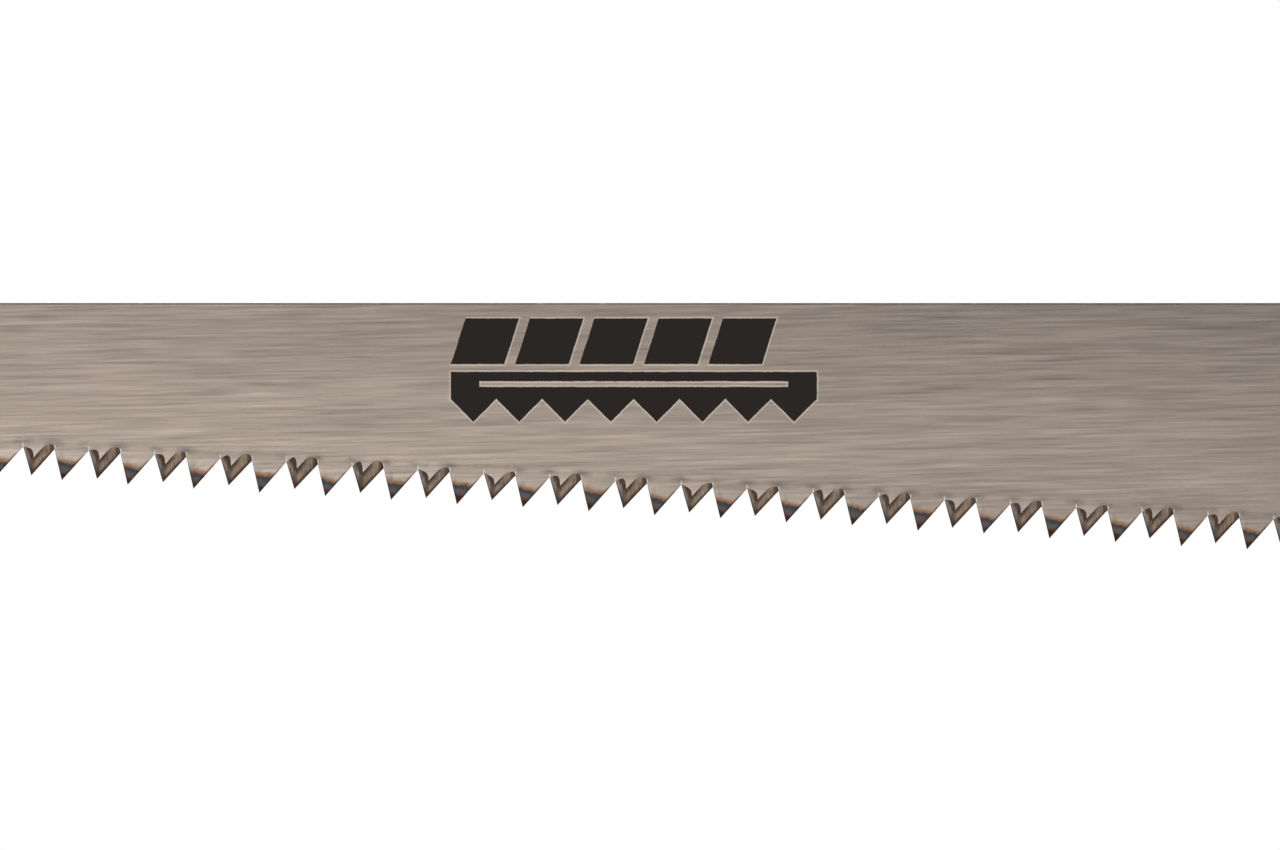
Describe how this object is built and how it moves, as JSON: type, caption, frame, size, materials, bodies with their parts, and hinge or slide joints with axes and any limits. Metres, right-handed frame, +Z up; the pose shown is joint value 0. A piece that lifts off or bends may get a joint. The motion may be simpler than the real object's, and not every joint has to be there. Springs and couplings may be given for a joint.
{
  "type": "compass saw",
  "caption": "Hand saw with a narrow tapered steel blade that is clamped in a pistol handle by a bolt and a hand knob.",
  "frame": {"origin": "on the straight back edge of the blade, at its middle thickness, where the blade meets the handle", "axes": "+X from the blade's toe to the handle, +Y through the blade's thickness away from the clamp knob, +Z up, square to the blade's back"},
  "size_m": [0.4208, 0.0424, 0.14],
  "materials": {
    "blade_steel": "brushed along the blade, clear-lacquered",
    "red_plastic": "moulded, fine satin texture",
    "soft_grip": "soft, finely textured",
    "black_plastic": "moulded, satin",
    "zinc_steel": "bright zinc plate",
    "spring_steel": "oiled, dark",
    "brass": "turned and rolled"
  },
  "bodies": {
    "handle": {"shell_left": "red_plastic", "shell_right": "red_plastic", "blade_holder": "zinc_steel", "grip_left": "soft_grip", "grip_right": "soft_grip", "pommel_cap": "black_plastic", "pommel_screw": "zinc_steel", "hang_eyelet": "brass", "clamp_bolt": "zinc_steel", "bolt_plate": "zinc_steel", "spring_washer": "spring_steel", "handle_screw_1": "zinc_steel", "handle_screw_2": "zinc_steel", "handle_screw_3": "zinc_steel", "handle_screw_4": "zinc_steel", "handle_screw_5": "zinc_steel"},
    "blade": {"blade": "blade_steel"},
    "washer": {"flat_washer": "zinc_steel"},
    "knob": {"clamp_knob": "black_plastic", "knob_insert": "brass", "knob_cap": "red_plastic"}
  },
  "joints": [
    {"name": "blade_slide", "type": "slide", "parent": "handle", "child": "blade", "axis": [-1, 0, 0], "range_m": [0, 0.06]},
    {"name": "washer_travel", "type": "slide", "parent": "handle", "child": "washer", "axis": [0, -1, 0], "range_m": [0, 0.002]},
    {"name": "knob_turn", "type": "hinge", "parent": "washer", "child": "knob", "pos_m": [0.024, 0, -0.0135], "axis": [0, -1, 0], "range_deg": [0, 720]}
  ],
  "couplings": [
    {"joint": "washer_travel", "follows": "knob_turn", "m_per_rad": 0.00015915}
  ]
}
